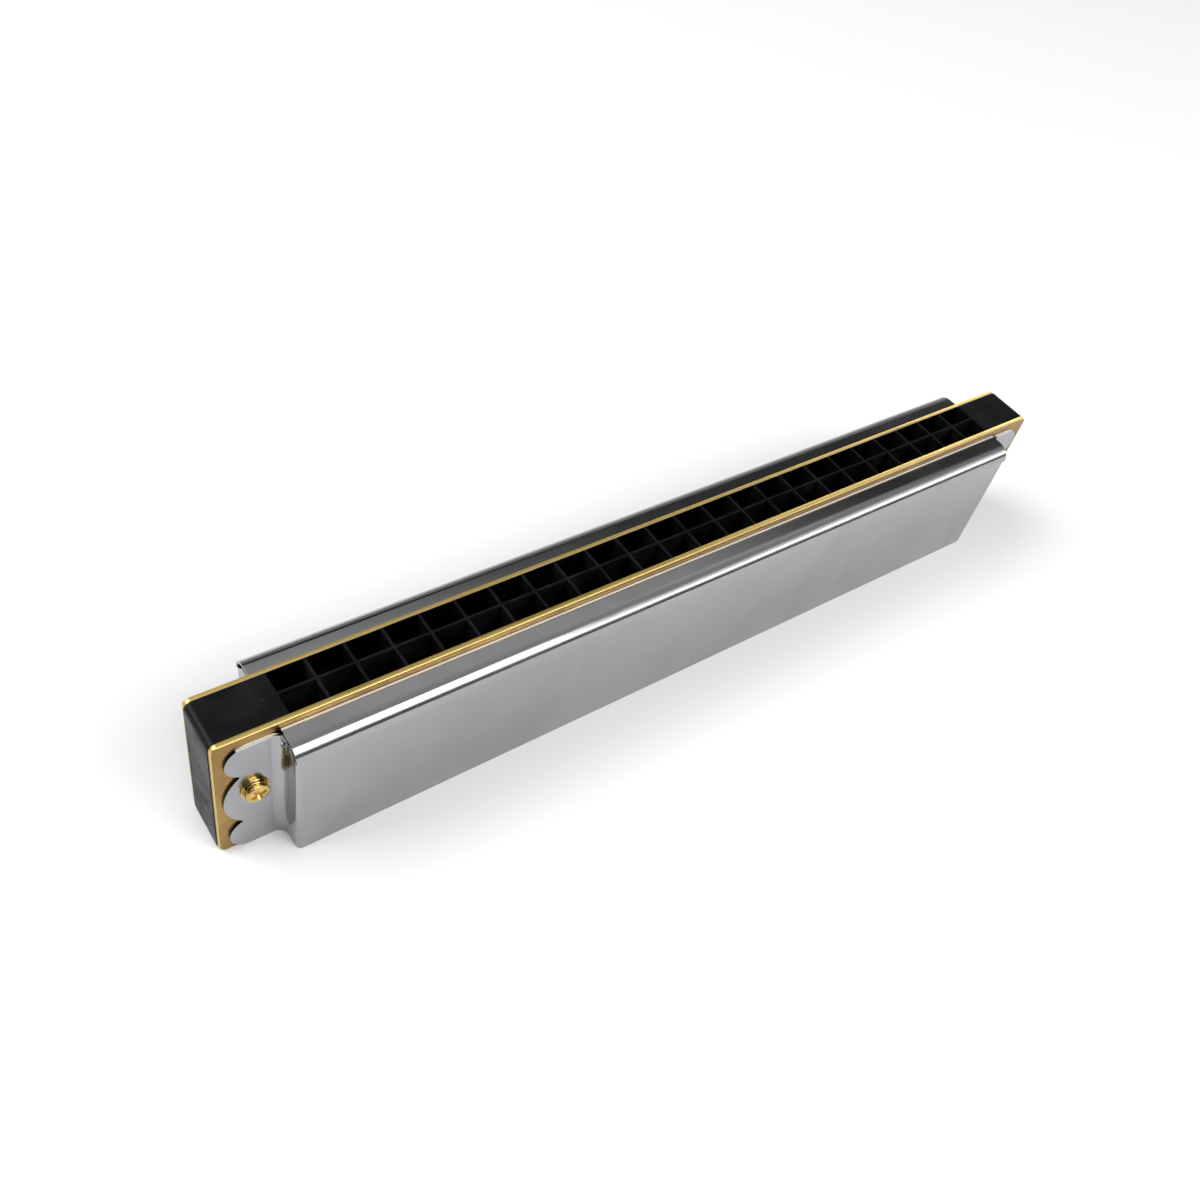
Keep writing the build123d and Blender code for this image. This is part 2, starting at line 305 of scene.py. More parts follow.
def makeCoverChrome(s):
    material, shader, add = newMaterial("coverChrome")
    calc = summer(add)
    lines = add("ShaderNodeGroup", s["lines"], node_tree=hairlines)
    marks = add("ShaderNodeGroup", node_tree=smudges)
    dust = add("ShaderNodeGroup", s["dust"], node_tree=specks)
    colour = mixColours(add, marks.outputs[0], s["bright"], s["smudged"])
    colour = mixColours(add, dust.outputs[0], colour, s["fleck"])
    # near-black painted shade on the flange's edge faces
    cut = add("ShaderNodeAttribute", attribute_name="cutEdge")
    colour = mixColours(add, cut.outputs["Fac"], colour, s["cut"])
    spot = add("ShaderNodeTexCoord").outputs["Object"]
    at = add("ShaderNodeSeparateXYZ", {0: spot})
    # a painted highlight: a white, less metallic line along the band's edge next to the reed plate
    nearEdge = add("ShaderNodeMapRange", {
        "Value": calc("ABSOLUTE", at.outputs["Y"]), "From Min": s["bareFrom"], "From Max": s["bareTo"],
    })
    onBand = calc("GREATER_THAN", at.outputs["Z"], s["bandAbove"])
    bare = calc("MULTIPLY", nearEdge.outputs[0], onBand)
    colour = mixColours(add, bare, colour, s["bare"])
    rough = spread(add, marks.outputs[0], s["clean"], s["dulled"])
    rough = calc("ADD", rough, spread(add, lines.outputs["Mask"], 0.0, s["lineRough"]))
    rough = mixValues(add, bare, rough, s["bareRough"])
    metallic = spread(add, bare, 1.0, s["bareMetallic"])
    stretched = add("ShaderNodeVectorMath", {0: spot, 1: s["waves"]}, operation="MULTIPLY").outputs[0]
    waves = add("ShaderNodeTexNoise", {"Vector": stretched, "Scale": 1.0, "Detail": 2.0}).outputs["Fac"]
    wavy = add("ShaderNodeBump", {"Height": waves, "Strength": 0.5, "Distance": s["waveDepth"]})
    bump = add("ShaderNodeBump", {
        "Height": lines.outputs["Height"], "Strength": 0.10, "Distance": s["lineDepth"],
        "Normal": wavy.outputs[0],
    })
    feed(material, shader, Base_Color=colour, Roughness=rough, Metallic=metallic, Normal=bump.outputs[0])
    return material


brass = {
    "bright": (0.34, 0.21, 0.06, 1), "pale": (0.42, 0.29, 0.10, 1), "brown": (0.18, 0.105, 0.038, 1),
    "sheared": (0.64, 0.48, 0.17, 1), "streak": (0.10, 0.065, 0.02, 1), "clean": 0.20, "dulled": 0.42,
    "rim": 0.38, "tarnish": 0.6, "spotting": 0.5, "bumpDepth": 0.015 * mm,
    "rolled": {"Length": 90.0, "Fineness": 5200.0}, "shears": {"Length": 45.0, "Fineness": 3600.0},
    "clouds": {"Scale": 140.0}, "spots": {"Scale": 1100.0, "Size": 0.16},
}


def makePlateBrass(s):
    material, shader, add = newMaterial("plateBrass")
    shader.inputs["Metallic"].default_value = 1.0
    rolled = add("ShaderNodeGroup", s["rolled"], node_tree=hairlines)
    tarnish = add("ShaderNodeGroup", s["clouds"], node_tree=smudges)
    spots = add("ShaderNodeGroup", s["spots"], node_tree=specks)
    colour = mixColours(add, rolled.outputs["Mask"], s["bright"], s["pale"])
    colour = mixColours(add, spread(add, tarnish.outputs[0], 0.0, s["tarnish"]), colour, s["brown"])
    colour = mixColours(add, spread(add, spots.outputs[0], 0.0, s["spotting"]), colour, s["brown"])
    cut = add("ShaderNodeAttribute", attribute_name="cutEdge")
    shears = add("ShaderNodeGroup", s["shears"], node_tree=hairlines)
    rim = mixColours(add, shears.outputs["Mask"], s["sheared"], s["streak"])
    colour = mixColours(add, cut.outputs["Fac"], colour, rim)
    # the chamber side gets the dark brown of tarnish and painted shade
    colour = dullInside(add, colour)
    rough = spread(add, tarnish.outputs[0], s["clean"], s["dulled"])
    rough = mixValues(add, cut.outputs["Fac"], rough, s["rim"])
    bump = add("ShaderNodeBump", {
        "Height": rolled.outputs["Height"], "Strength": 0.25, "Distance": s["bumpDepth"],
    })
    feed(material, shader, Base_Color=colour, Roughness=rough, Normal=bump.outputs[0])
    return material


plastic = {
    "black": (0.0025, 0.0025, 0.0035, 1), "worn": (0.007, 0.007, 0.009, 1), "dusty": (0.06, 0.06, 0.065, 1),
    "gloss": 0.36, "matt": 0.55, "specular": 0.13, "grainScale": 2600.0, "bumpDepth": 0.03 * mm,
    "clouds": {"Scale": 180.0}, "dust": {"Scale": 1300.0, "Size": 0.10, "Share": 0.10},
}


def makeCombPlastic(s):
    material, shader, add = newMaterial("combPlastic")
    shader.inputs["Specular IOR Level"].default_value = s["specular"]
    clouds = add("ShaderNodeGroup", s["clouds"], node_tree=smudges)
    dust = add("ShaderNodeGroup", s["dust"], node_tree=specks)
    at = add("ShaderNodeTexCoord").outputs["Object"]
    grain = add("ShaderNodeTexNoise", {"Vector": at, "Scale": s["grainScale"], "Detail": 3.0})
    colour = mixColours(add, clouds.outputs[0], s["black"], s["worn"])
    colour = mixColours(add, dust.outputs[0], colour, s["dusty"])
    rough = spread(add, clouds.outputs[0], s["gloss"], s["matt"])
    bump = add("ShaderNodeBump", {
        "Height": grain.outputs["Fac"], "Strength": 0.35, "Distance": s["bumpDepth"],
    })
    feed(material, shader, Base_Color=colour, Roughness=rough, Normal=bump.outputs[0])
    return material


smallBrass = {
    "reedBronze": {
        "base": (0.50, 0.30, 0.11, 1), "mark": (0.66, 0.46, 0.22, 1), "clean": 0.22, "dulled": 0.40,
        "lines": {"Length": 2500.0, "Fineness": 9000.0}, "aged": True,
    },
    "rivetBrass": {
        "base": (0.38, 0.25, 0.09, 1), "mark": (0.24, 0.15, 0.05, 1), "clean": 0.25, "dulled": 0.45,
        "lines": {"Length": 3000.0, "Fineness": 3000.0}, "aged": True,
    },
    "screwGold": {
        "base": (0.66, 0.47, 0.15, 1), "mark": (0.36, 0.23, 0.07, 1), "clean": 0.07, "dulled": 0.17,
        "lines": {"Length": 1500.0, "Fineness": 4000.0}, "aged": False,
    },
}


def makeSmallBrass(name, s):
    material, shader, add = newMaterial(name)
    shader.inputs["Metallic"].default_value = 1.0
    lines = add("ShaderNodeGroup", s["lines"], node_tree=hairlines)
    wear = add("ShaderNodeGroup", {"Scale": 700.0}, node_tree=smudges)
    colour = mixColours(add, spread(add, wear.outputs[0], 0.0, 0.7), s["base"], s["mark"])
    # reeds and rivets inside the chambers get the dark brown of tarnish and painted shade
    if s["aged"]:
        colour = dullInside(add, colour)
    rough = spread(add, lines.outputs["Mask"], s["clean"], s["dulled"])
    bump = add("ShaderNodeBump", {
        "Height": lines.outputs["Height"], "Strength": 0.2, "Distance": 0.008 * mm,
    })
    feed(material, shader, Base_Color=colour, Roughness=rough, Normal=bump.outputs[0])
    return material


coverChrome = makeCoverChrome(chrome)
plateBrass = makePlateBrass(brass)
combPlastic = makeCombPlastic(plastic)
reedBronze, rivetBrass, screwGold = (makeSmallBrass(name, s) for name, s in smallBrass.items())
print("materials made")


def finish(ob, material, slot, rideOn, *nodes):
    ob.data.materials.clear()
    ob.data.materials.append(material)
    for face in ob.data.polygons:
        face.material_index = 0
    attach(ob, rideOn)
    if nodes:
        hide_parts(*nodes)
    return ob


combSize = {
    "cornerRadius": 1.2 * mm, "columns": 24, "pitch": 6.3 * mm, "wall": 0.55 * mm, "web": 0.5 * mm,
    "bassFloor": 2.6 * mm, "trebleFloor": 9.8 * mm, "edge": 0.12 * mm,
}


def makeCombTree():
    tree = newTree(
        "combBlock", "GeometryNodeTree",
        [("Geometry", "NodeSocketGeometry", None)]
        + [(label, "NodeSocketFloat", 0.0) for label in
           ("Length", "Thickness", "Height", "Corner Radius", "Pitch", "Wall", "Web",
            "Bass Floor", "Treble Floor")]
        + [("Columns", "NodeSocketInt", 24), ("Material", "NodeSocketMaterial", None)],
        [("Geometry", "NodeSocketGeometry")],
    )
    add = adder(tree)
    calc = summer(add)
    ins, outs = add("NodeGroupInput").outputs, add("NodeGroupOutput")
    half = calc("MULTIPLY", ins["Thickness"], 0.5)
    outline = add("GeometryNodeCurvePrimitiveQuadrilateral", {
        "Width": ins["Length"], "Height": ins["Height"],
    })
    rounded = add("GeometryNodeFilletCurve", {
        "Curve": outline.outputs[0], "Radius": ins["Corner Radius"], "Limit Radius": True, "Count": 6,
    }, mode="POLY")
    sheet = add("GeometryNodeFillCurve", {"Curve": rounded.outputs[0]}, mode="NGONS")
    middle = add("ShaderNodeCombineXYZ", {"Y": half, "Z": calc("MULTIPLY", ins["Height"], 0.5)})
    stood = add("GeometryNodeTransform", {
        "Geometry": sheet.outputs[0], "Translation": middle.outputs[0], "Rotation": (math.pi / 2, 0, 0),
    })
    raised = add("GeometryNodeExtrudeMesh", {
        "Mesh": stood.outputs[0], "Offset Scale": ins["Thickness"], "Individual": False,
    }, mode="FACES")
    back = add("GeometryNodeFlipFaces", {"Mesh": stood.outputs[0]})
    joined = add("GeometryNodeJoinGeometry")
    tree.links.new(raised.outputs[0], joined.inputs[0])
    tree.links.new(back.outputs[0], joined.inputs[0])
    block = add("GeometryNodeMergeByDistance", {"Geometry": joined.outputs[0], "Distance": 0.001 * mm})

    # one cutter for each chamber, longest at the bass end
    last = calc("SUBTRACT", ins["Columns"], 1.0)
    firstX = calc("MULTIPLY", calc("MULTIPLY", last, 0.5), ins["Pitch"])
    start = add("ShaderNodeCombineXYZ", {"X": firstX})
    step = add("ShaderNodeCombineXYZ", {"X": calc("MULTIPLY", ins["Pitch"], -1.0)})
    row = add("GeometryNodeMeshLine", {
        "Count": ins["Columns"], "Start Location": start.outputs[0], "Offset": step.outputs[0],
    }, mode="OFFSET")
    share = calc("DIVIDE", add("GeometryNodeInputIndex").outputs[0], last)
    floor = spread(add, share, ins["Bass Floor"], ins["Treble Floor"])
    lift = calc("ADD", floor, calc("MULTIPLY", ins["Height"], 0.5))
    out = calc("ADD", calc("MULTIPLY", ins["Web"], 0.5), half)
    cutter = add("GeometryNodeMeshCube", {"Size": (1, 1, 1)})
    size = add("ShaderNodeCombineXYZ", {
        "X": calc("SUBTRACT", ins["Pitch"], ins["Wall"]), "Y": ins["Thickness"], "Z": ins["Height"],
    })
    cutters = add("GeometryNodeJoinGeometry")
    for side in sides.values():
        place = add("ShaderNodeCombineXYZ", {"Y": calc("MULTIPLY", out, float(side)), "Z": lift})
        shifted = add("GeometryNodeSetPosition", {"Geometry": row.outputs[0], "Offset": place.outputs[0]})
        boxes = add("GeometryNodeInstanceOnPoints", {
            "Points": shifted.outputs[0], "Instance": cutter.outputs[0], "Scale": size.outputs[0],
        })
        tree.links.new(boxes.outputs[0], cutters.inputs[0])
    solidCutters = add("GeometryNodeRealizeInstances", {"Geometry": cutters.outputs[0]})
    cut = add("GeometryNodeMeshBoolean", {
        "Mesh 1": block.outputs[0], "Mesh 2": solidCutters.outputs[0],
    }, operation="DIFFERENCE", solver="EXACT")
    real = add("GeometryNodeRealizeInstances", {"Geometry": cut.outputs[0]})
    done = add("GeometryNodeSetMaterial", {"Geometry": real.outputs[0], "Material": ins["Material"]})
    tree.links.new(done.outputs[0], outs.inputs[0])
    return tree


def applyTree(ob, tree, name, values):
    modifier = ob.modifiers.new(tree.name, "NODES")
    modifier.node_group = tree
    for item in tree.interface.items_tree:
        if item.item_type == "SOCKET" and item.in_out == "INPUT" and item.name in values:
            modifier[item.identifier] = values[item.name]
    ob.update_tag()
    return evaluated(ob, name)


def makeComb(s):
    low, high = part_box("comb")
    values = {
        "Length": high.x - low.x, "Thickness": high.y - low.y, "Height": high.z - low.z,
        "Corner Radius": s["cornerRadius"], "Columns": s["columns"], "Pitch": s["pitch"],
        "Wall": s["wall"], "Web": s["web"], "Bass Floor": s["bassFloor"],
        "Treble Floor": s["trebleFloor"], "Material": combPlastic,
    }
    start = addObject("combStart", bpy.data.meshes.new("combStart"))
    comb = applyTree(start, makeCombTree(), "combBody", values)
    comb = softenEdges(comb, s["edge"])
    return finish(comb, combPlastic, "comb", body, "comb")


makeComb(combSize)
print("comb made")


sheetEdges = {
    "cover": 0.11 * mm, "plate": 0.04 * mm, "sameSpot": 0.0005 * mm,
    "flangeX": 77.6 * mm, "flangeY": 5.4 * mm, "rim": 0.45 * mm,
}


def sheetCopy(node, name, edge, merge):
    # a welded copy of a flat or stamped sheet, with its cut edges broken
    source = frame["nodes"][node].data
    bm = bmesh.new()
    bm.from_mesh(source)
    bmesh.ops.remove_doubles(bm, verts=bm.verts, dist=sheetEdges["sameSpot"])
    if merge:
        bmesh.ops.dissolve_limit(bm, angle_limit=math.radians(0.4), verts=bm.verts, edges=bm.edges)
    shade = shadeByArea if merge else shadeFlatFaces
    return softenEdges(addObject(name, meshFrom(bm, name)), edge, shade=shade)


def markFaces(ob, name, test):
    # an attribute that is 1 on the faces that pass the test and 0 on the others
    mask = ob.data.attributes.new(name, "FLOAT", "FACE")
    for face in ob.data.polygons:
        mask.data[face.index].value = 1.0 if test(face.normal, face.center) else 0.0


def makePlate(place, s):
    node = f"{place}_reed_plate"
    plate = sheetCopy(node, f"{place}PlateSheet", s["plate"], False)
    low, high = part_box(node)
    rimX, rimLow, rimHigh = high.x - s["rim"], low.z + s["rim"], high.z - s["rim"]

    def onRim(normal, middle):
        atRim = abs(middle.x) > rimX or not rimLow < middle.z < rimHigh
        return abs(normal.y) < 0.8 and atRim

    markFaces(plate, "cutEdge", onRim)
    finish(plate, plateBrass, "reed_plate", body, node)


def makeCover(place, s):
    node = f"{place}_cover"
    cover = sheetCopy(node, f"{place}CoverSheet", s["cover"], True)

    # the flange's edge faces carry a near-black painted shade line
    def onFlangeEdge(normal, middle):
        return abs(normal.y) < 0.5 and abs(middle.x) > s["flangeX"] and abs(middle.y) < s["flangeY"]

    markFaces(cover, "cutEdge", onFlangeEdge)
    finish(cover, coverChrome, "cover", body, node)


for place in sides:
    makePlate(place, sheetEdges)
    makeCover(place, sheetEdges)
print("reed plates and covers made")


def turned(bm, profile, count):
    # turns (radius, height) points about Z; a radius of 0 closes on the axis
    rings = []
    for radius, height in profile:
        if radius == 0:
            rings.append([bm.verts.new((0, 0, height))])
        else:
            angles = [2 * math.pi * i / count for i in range(count)]
            rings.append([bm.verts.new((radius * math.cos(a), radius * math.sin(a), height)) for a in angles])
    for a, b in zip(rings, rings[1:] + ([rings[0]] if len(rings[0]) > 1 else [])):
        for i in range(count):
            corners = [a[i % len(a)], a[(i + 1) % len(a)], b[(i + 1) % len(b)], b[i % len(b)]]
            unique = list(dict.fromkeys(corners))
            if len(unique) > 2:
                bm.faces.new(unique)


def turnedObject(name, profile, count):
    bm = bmesh.new()
    turned(bm, profile, count)
    return addObject(name, meshFrom(bm, name))


def arcPoints(centre, radius, start, end, count):
    angles = [math.radians(start + (end - start) * i / count) for i in range(count + 1)]
    return [(centre[0] + radius * math.cos(a), centre[1] + radius * math.sin(a)) for a in angles]


def cutWith(ob, cutter, operation="DIFFERENCE"):
    cut = ob.modifiers.new("cut", "BOOLEAN")
    cut.operation = operation
    cut.solver = "EXACT"
    cut.object = cutter
    done = evaluated(ob, ob.name)
    bpy.data.objects.remove(cutter)
    return done


def slabObject(name, size, centre, taper=1.0):
    # a box whose lower end is narrowed by taper
    bm = bmesh.new()
    bmesh.ops.create_cube(bm, size=1)
    for vertex in bm.verts:
        narrow = taper if vertex.co.z < 0 else 1.0
        across = (vertex.co.x * size[0] * narrow, vertex.co.y * size[1] * narrow, vertex.co.z * size[2])
        vertex.co = Vector(across) + Vector(centre)
    return addObject(name, meshFrom(bm, name))


rivet = {"head": 0.85 * mm, "rise": 0.30 * mm, "shank": 0.44 * mm, "depth": 1.15 * mm, "sides": 20}


def makeRivetTemplate(s):
    # the head's flat underside is at height 0, and the shank goes down through reed and plate
    turns = [math.pi / 2 * i / 5 for i in range(5)]
    dome = [(s["head"] * math.cos(t), s["rise"] * (0.25 + 0.75 * math.sin(t))) for t in turns]
    shank = [(0, -s["depth"]), (s["shank"], -s["depth"]), (s["shank"], 0)]
    profile = [*shank, (s["head"], 0), *dome, (0, s["rise"])]
    return shadeByArea(turnedObject("rivetTemplate", profile, s["sides"]), 60)


pin = {"radius": 0.59 * mm, "dome": 0.06 * mm, "depth": 2.5 * mm, "sides": 20}


def makePinTemplate(s):
    r, d = s["radius"], s["dome"]
    profile = [(0, -s["depth"]), (r, -s["depth"]), (r, -d), (r * 0.86, -d * 0.35), (r * 0.5, 0), (0, 0)]
    return shadeByArea(turnedObject("pinTemplate", profile, s["sides"]), 60)


screw = {
    "head": 1.9 * mm, "rise": 0.85 * mm, "edge": 0.32 * mm, "crown": 0.10 * mm, "seatEdge": 0.05 * mm,
    "shank": 1.25 * mm, "thread": 0.16 * mm, "pitch": 0.45 * mm, "tip": 0.25 * mm, "tipThreads": 8,
    "slotLength": 2.7 * mm, "slotWidth": 0.78 * mm, "slotDepth": 0.72 * mm, "slotTaper": 0.72,
    "above": 0.2 * mm, "soft": 0.04 * mm, "sides": 48,
}


def makeScrewTemplate(s):
    # the head's seat is at height 0 and the shank goes down; its threaded tip comes out past the nut
    low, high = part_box("cover_screws")
    reach = high.y - low.y - s["rise"]
    rim = arcPoints((s["head"] - s["edge"], s["rise"] - s["edge"] - s["crown"]), s["edge"], 0, 80, 6)
    crown = [(s["head"] * 0.45, s["rise"] - s["crown"] * 0.2), (0, s["rise"])]
    thread = []
    for i in range(s["tipThreads"]):
        bottom = -reach + s["tip"] + i * s["pitch"]
        thread += [(s["shank"] - s["thread"], bottom), (s["shank"], bottom + s["pitch"] * 0.5)]
    end = [(0, -reach), (s["shank"] - 1.6 * s["thread"], -reach)]
    shank = [(s["shank"], thread[-1][1] + s["pitch"]), (s["shank"], 0)]
    profile = [*end, *thread, *shank, (s["head"] - s["seatEdge"], 0), *rim, *crown]
    head = turnedObject("screwTemplate", profile, s["sides"])
    deep = s["slotDepth"] + s["above"]
    middle = s["rise"] - s["slotDepth"] / 2 + s["above"] / 2
    for length, width in ((s["slotLength"], s["slotWidth"]), (s["slotWidth"], s["slotLength"])):
        head = cutWith(head, slabObject("slot", (length, width, deep), (0, 0, middle), s["slotTaper"]))
    return softenEdges(head, s["soft"], 2, 40)


washer = {"outer": 2.2 * mm, "inner": 1.37 * mm, "thick": 0.3 * mm, "edge": 0.06 * mm, "sides": 48}


def makeWasherTemplate(s):
    e, t, inner, outer = s["edge"], s["thick"], s["inner"], s["outer"]
    lower = [(inner, 0), (outer - e, 0), (outer, e)]
    profile = [*lower, (outer, t - e), (outer - e, t), (inner + e, t), (inner, t - e)]
    return shadeByArea(turnedObject("washerTemplate", profile, s["sides"]), 30)


lockWasher = {
    "outer": 2.0 * mm, "inner": 1.37 * mm, "thick": 0.29 * mm, "lead": 0.06 * mm, "gap": 9,
    "edge": 0.05 * mm, "steps": 44,
}


def makeLockWasherTemplate(s):
    # a ring cut once and twisted a little, so that one cut end stands above the other
    bm = bmesh.new()
    e, t, inner, outer = s["edge"], s["thick"], s["inner"], s["outer"]
    section = [(inner, e), (inner + e, 0), (outer - e, 0), (outer, e)]
    section += [(outer, t - e), (outer - e, t), (inner + e, t), (inner, t - e)]
    rings = []
    for i in range(s["steps"] + 1):
        share = i / s["steps"]
        a = math.radians(90 + s["gap"] / 2 + (360 - s["gap"]) * share)
        rise = s["lead"] * share
        rings.append([bm.verts.new((r * math.cos(a), r * math.sin(a), h + rise)) for r, h in section])
    for a, b in zip(rings, rings[1:]):
        for i in range(len(section)):
            j = (i + 1) % len(section)
            bm.faces.new((a[i], a[j], b[j], b[i]))
    bm.faces.new(rings[0])
    bm.faces.new(rings[-1])
    return shadeByArea(addObject("lockTemplate", meshFrom(bm, "lockTemplate")), 30)


def raiseFaces(bm, height):
    # gives the flat faces in bm a thickness along Z
    extruded = bmesh.ops.extrude_face_region(bm, geom=bm.faces[:])
    corners = [v for v in extruded["geom"] if isinstance(v, bmesh.types.BMVert)]
    bmesh.ops.translate(bm, vec=(0, 0, height), verts=corners)


nut = {"flats": 4.6 * mm, "height": 1.6 * mm, "bore": 1.27 * mm, "soft": 0.04 * mm, "sides": 48}


def makeNutTemplate(s):
    # a hexagon bar end turned down at its corners, with a plain bore
    corner, flat, h = s["flats"] / math.sqrt(3), s["flats"] / 2, s["height"]
    bm = bmesh.new()
    bmesh.ops.create_circle(bm, cap_ends=True, radius=corner, segments=6)
    raiseFaces(bm, h)
    bar = addObject("nutTemplate", meshFrom(bm, "nutTemplate"))
    drop = (corner - flat) * math.tan(math.radians(30)) * 1.5
    clear = corner * 1.01
    cone = [(0, 0), (flat, 0), (clear, drop), (clear, h - drop), (flat, h), (0, h)]
    bar = cutWith(bar, turnedObject("cone", cone, s["sides"]), "INTERSECT")
    bore = [(0, -h), (s["bore"], -h), (s["bore"], 2 * h), (0, 2 * h)]
    bar = cutWith(bar, turnedObject("bore", bore, s["sides"]))
    return softenEdges(bar, s["soft"], 2, 25)


reedBase = {"width": 3.2 * mm, "length": 3.0 * mm, "thick": 0.25 * mm, "corner": 0.25 * mm, "edge": 0.03 * mm}


def makeBaseTemplate(s):
    # a reed's riveted end, with small cut corners; its underside lies on the plate at height 0
    x, y, c = s["width"] / 2, s["length"] / 2, s["corner"]
    right = [(x - c, -y), (x, -y + c), (x, y - c), (x - c, y)]
    left = [(-x + c, y), (-x, y - c), (-x, -y + c), (-x + c, -y)]
    bm = bmesh.new()
    bm.faces.new([bm.verts.new((*p, 0)) for p in right + left])
    raiseFaces(bm, s["thick"])
    return softenEdges(addObject("baseTemplate", meshFrom(bm, "baseTemplate")), s["edge"], 1, 40)


def makeScatterTree():
    # puts one part on every point, its Z axis along the point's facing, with a seeded turn about it
    tree = newTree(
        "partOnPoints", "GeometryNodeTree",
        [("Geometry", "NodeSocketGeometry", None), ("Part", "NodeSocketObject", None),
         ("Turn", "NodeSocketFloat", 0.0), ("Turn Spread", "NodeSocketFloat", 0.0),
         ("Seed", "NodeSocketInt", 0), ("Material", "NodeSocketMaterial", None)],
        [("Geometry", "NodeSocketGeometry")],
    )
    add = adder(tree)
    calc = summer(add)
    ins, outs = add("NodeGroupInput").outputs, add("NodeGroupOutput")
    part = add("GeometryNodeObjectInfo", {"Object": ins["Part"]})
    facing = add("GeometryNodeInputNamedAttribute", {"Name": "facing"}, data_type="FLOAT_VECTOR")
    aligned = add("FunctionNodeAlignRotationToVector", {"Vector": facing.outputs[0]}, axis="Z")
    chance = add("FunctionNodeRandomValue", {
        2: calc("MULTIPLY", ins["Turn Spread"], -1.0), 3: ins["Turn Spread"], "Seed": ins["Seed"],
    }, data_type="FLOAT")
    about = add("ShaderNodeCombineXYZ", {"Z": calc("ADD", ins["Turn"], chance.outputs[1])})
    rotated = add("FunctionNodeRotateRotation", {
        0: aligned.outputs[0], 1: about.outputs[0],
    }, rotation_space="LOCAL")
    placed = add("GeometryNodeInstanceOnPoints", {
        "Points": ins["Geometry"], "Instance": part.outputs["Geometry"], "Rotation": rotated.outputs[0],
    })
    real = add("GeometryNodeRealizeInstances", {"Geometry": placed.outputs[0]})
    done = add("GeometryNodeSetMaterial", {"Geometry": real.outputs[0], "Material": ins["Material"]})
    tree.links.new(done.outputs[0], outs.inputs[0])
    return tree


scatterTree = makeScatterTree()


def scatter(name, spots, template, material, slot, node, turn=0.0, turnSpread=0.0, seed=1):
    # spots are (place, facing) pairs
    mesh = bpy.data.meshes.new(name)
    mesh.from_pydata([place for place, _ in spots], [], [])
    facing = mesh.attributes.new("facing", "FLOAT_VECTOR", "POINT")
    for i, (_, direction) in enumerate(spots):
        facing.data[i].vector = direction
    values = {
        "Part": template, "Turn": turn, "Turn Spread": turnSpread, "Seed": seed, "Material": material,
    }
    done = applyTree(addObject(name + "Points", mesh), scatterTree, name, values)
    bpy.data.objects.remove(template)
    return finish(done, material, slot, body, node)


plateFaces = {place: [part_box(f"{place}_reed_plate")[i].y for i in (0, 1)] for place in sides}


def reedSpot(place, number):
    # the Z of a reed's root, the way it grows along Z, the way its free side looks along Y,
    # the Y of the plate's face under it, and its sizes
    node = f"{place}_reed_{number:02d}"
    low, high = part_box(node)
    joint = next(j for j in frame["joints"] if j["child"] == node)
    up = abs(joint["pos_m"][2] - low.z) < abs(joint["pos_m"][2] - high.z)
    look = 1 if (low.y + high.y) / 2 > sum(plateFaces[place]) / 2 else -1
    return {
        "x": (low.x + high.x) / 2, "root": low.z if up else high.z, "grow": 1 if up else -1,
        "look": look, "face": low.y if look > 0 else high.y,
        "length": high.z - low.z, "width": high.x - low.x, "thick": high.y - low.y,
    }


reedNumbers = range(1, combSize["columns"] + 1)
reeds = {(place, number): reedSpot(place, number) for place in sides for number in reedNumbers}


def baseSpots(lift):
    spots = []
    for r in reeds.values():
        z = r["root"] - r["grow"] * (reedBase["length"] / 2 + 0.02 * mm)
        spots.append(((r["x"], r["face"] + r["look"] * lift, z), (0, r["look"], 0)))
    return spots


scatter("reedBaseSet", baseSpots(0.0), makeBaseTemplate(reedBase), reedBronze, "reed", "reed_bases")
scatter("reedRivetSet", baseSpots(reedBase["thick"]), makeRivetTemplate(rivet), rivetBrass,
        "rivet", "reed_rivets", turnSpread=math.pi, seed=3)

pinPlaces = {"endInset": 2.45 * mm, "cornerRise": 4.0 * mm, "rowRise": 1.3 * mm, "firstGap": 3, "every": 5}


def pinSpots(s):
    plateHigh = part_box("upper_reed_plate")[1]
    pitch, count = combSize["pitch"], combSize["columns"]
    endX = plateHigh.x - s["endInset"]
    spots = [(x, z) for x in (-endX, endX) for z in (s["cornerRise"], plateHigh.z - s["cornerRise"])]
    spots += [((count / 2 - gap) * pitch, s["rowRise"]) for gap in range(s["firstGap"], count, s["every"])]
    out = {"upper": min(plateFaces["upper"]), "lower": max(plateFaces["lower"])}
    return [((x, out[place], z), (0, side, 0)) for place, side in sides.items() for x, z in spots]


scatter("reedPlatePinSet", pinSpots(pinPlaces), makePinTemplate(pin), rivetBrass,
        "rivet", "reed_plate_pins", turnSpread=math.pi, seed=5)
print("rivets, bases and pins made")

# screws, washers and nuts share the two screw axes
screwLow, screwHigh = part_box("cover_screws")
screwX = screwHigh.x - screw["head"]
screwZ = (screwLow.z + screwHigh.z) / 2
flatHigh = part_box("flat_washers")[1]
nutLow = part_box("cover_nuts")[0]


def axisSpots(upperY=None, lowerY=None):
    spots = []
    for x in (-screwX, screwX):
        if upperY is not None:
            spots.append(((x, upperY, screwZ), (0, -1, 0)))
        if lowerY is not None:
            spots.append(((x, lowerY, screwZ), (0, 1, 0)))
    return spots


